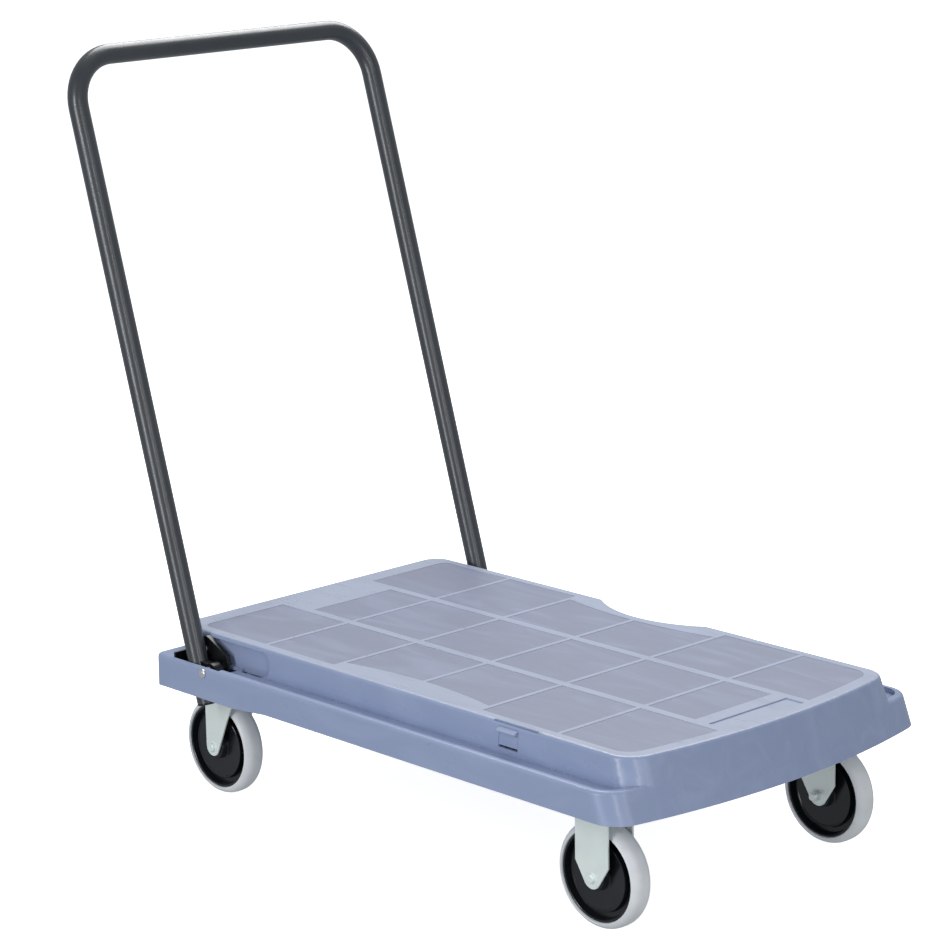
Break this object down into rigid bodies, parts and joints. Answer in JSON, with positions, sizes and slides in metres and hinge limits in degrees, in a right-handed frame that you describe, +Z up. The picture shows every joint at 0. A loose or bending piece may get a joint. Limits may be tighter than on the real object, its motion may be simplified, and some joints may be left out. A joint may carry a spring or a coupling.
{
  "type": "folding platform cart",
  "caption": "Folding platform cart: moulded deck on two fixed and two swivel wheels, with a U-shaped tube handle that folds down over the deck.",
  "frame": {"origin": "on the floor, under the middle of the cart's length with the handle upright, on the centre plane", "axes": "+X from the handle end to the front, +Y to the left-hand side (the side with the hand scoop), +Z up"},
  "size_m": [0.988, 0.525, 0.9269],
  "materials": {
    "deck_plastic": "satin moulded, faint flow marks",
    "black_tube": "satin black powder coat",
    "black_steel": "satin black",
    "zinc": "pale zinc plate",
    "bright_steel": "bright plate",
    "black_plastic": "matt moulded",
    "tread": "matt",
    "spring_steel": "plain"
  },
  "bodies": {
    "deck": {"deck_shell": "deck_plastic", "pivot_bracket_left": "black_steel", "pivot_pin_left": "bright_steel", "pivot_spacers_left": "black_plastic", "pin_clip_left": "spring_steel", "fixed_plate_left": "zinc", "fixed_fork_left": "zinc", "swivel_plate_left": "zinc", "kingpin_left": "zinc", "swivel_balls_left": "bright_steel", "caster_bolts_front_left": "zinc", "caster_bolts_rear_left": "zinc", "axle_bolt_front_left": "zinc", "axle_nut_front_left": "zinc", "pivot_bracket_right": "black_steel", "pivot_pin_right": "bright_steel", "pivot_spacers_right": "black_plastic", "pin_clip_right": "spring_steel", "fixed_plate_right": "zinc", "fixed_fork_right": "zinc", "swivel_plate_right": "zinc", "kingpin_right": "zinc", "swivel_balls_right": "bright_steel", "caster_bolts_front_right": "zinc", "caster_bolts_rear_right": "zinc", "axle_bolt_front_right": "zinc", "axle_nut_front_right": "zinc"},
    "handle": {"handle_tube": "black_tube", "pivot_lug_left": "black_steel", "leg_plug_left": "black_plastic", "lock_spring_left": "spring_steel", "pivot_lug_right": "black_steel", "leg_plug_right": "black_plastic", "lock_spring_right": "spring_steel"},
    "lock_button_left": {"lock_button_left": "zinc"},
    "snap_tongue_left": {"snap_tongue_left": "deck_plastic"},
    "swivel_left": {"swivel_fork_left": "zinc", "axle_bolt_rear_left": "zinc", "axle_nut_rear_left": "zinc"},
    "wheel_front_left": {"wheel_core_front_left": "black_plastic", "tyre_front_left": "tread", "wheel_bearing_front_left": "bright_steel"},
    "wheel_rear_left": {"wheel_core_rear_left": "black_plastic", "tyre_rear_left": "tread", "wheel_bearing_rear_left": "bright_steel"},
    "lock_button_right": {"lock_button_right": "zinc"},
    "snap_tongue_right": {"snap_tongue_right": "deck_plastic"},
    "swivel_right": {"swivel_fork_right": "zinc", "axle_bolt_rear_right": "zinc", "axle_nut_rear_right": "zinc"},
    "wheel_front_right": {"wheel_core_front_right": "black_plastic", "tyre_front_right": "tread", "wheel_bearing_front_right": "bright_steel"},
    "wheel_rear_right": {"wheel_core_rear_right": "black_plastic", "tyre_rear_right": "tread", "wheel_bearing_rear_right": "bright_steel"}
  },
  "joints": [
    {"name": "handle_fold", "type": "hinge", "parent": "deck", "child": "handle", "pos_m": [-0.23798, 0, 0.179], "axis": [0, 1, 0], "range_deg": [0, 106.3]},
    {"name": "lock_button_slide_left", "type": "slide", "parent": "handle", "child": "lock_button_left", "axis": [0, 1, 0], "range_m": [0, 0.004], "stiffness_N_per_m": 800},
    {"name": "snap_tongue_flex_left", "type": "hinge", "parent": "deck", "child": "snap_tongue_left", "pos_m": [0.26202, 0.22163, 0.1914], "axis": [1, 0, 0], "range_deg": [0, 8], "stiffness_Nm_per_rad": 4},
    {"name": "caster_swivel_left", "type": "hinge", "parent": "deck", "child": "swivel_left", "pos_m": [-0.25598, 0.192, 0.142], "axis": [0, 0, 1], "continuous": true},
    {"name": "wheel_spin_front_left", "type": "hinge", "parent": "deck", "child": "wheel_front_left", "pos_m": [0.38202, 0.192, 0.0625], "axis": [0, 1, 0], "continuous": true},
    {"name": "wheel_spin_rear_left", "type": "hinge", "parent": "swivel_left", "child": "wheel_rear_left", "pos_m": [-0.28298, 0.192, 0.0625], "axis": [0, 1, 0], "continuous": true},
    {"name": "lock_button_slide_right", "type": "slide", "parent": "handle", "child": "lock_button_right", "axis": [0, -1, 0], "range_m": [0, 0.004], "stiffness_N_per_m": 800},
    {"name": "snap_tongue_flex_right", "type": "hinge", "parent": "deck", "child": "snap_tongue_right", "pos_m": [0.26202, -0.22163, 0.1914], "axis": [-1, 0, 0], "range_deg": [0, 8], "stiffness_Nm_per_rad": 4},
    {"name": "caster_swivel_right", "type": "hinge", "parent": "deck", "child": "swivel_right", "pos_m": [-0.25598, -0.192, 0.142], "axis": [0, 0, 1], "continuous": true},
    {"name": "wheel_spin_front_right", "type": "hinge", "parent": "deck", "child": "wheel_front_right", "pos_m": [0.38202, -0.192, 0.0625], "axis": [0, 1, 0], "continuous": true},
    {"name": "wheel_spin_rear_right", "type": "hinge", "parent": "swivel_right", "child": "wheel_rear_right", "pos_m": [-0.28298, -0.192, 0.0625], "axis": [0, 1, 0], "continuous": true}
  ]
}
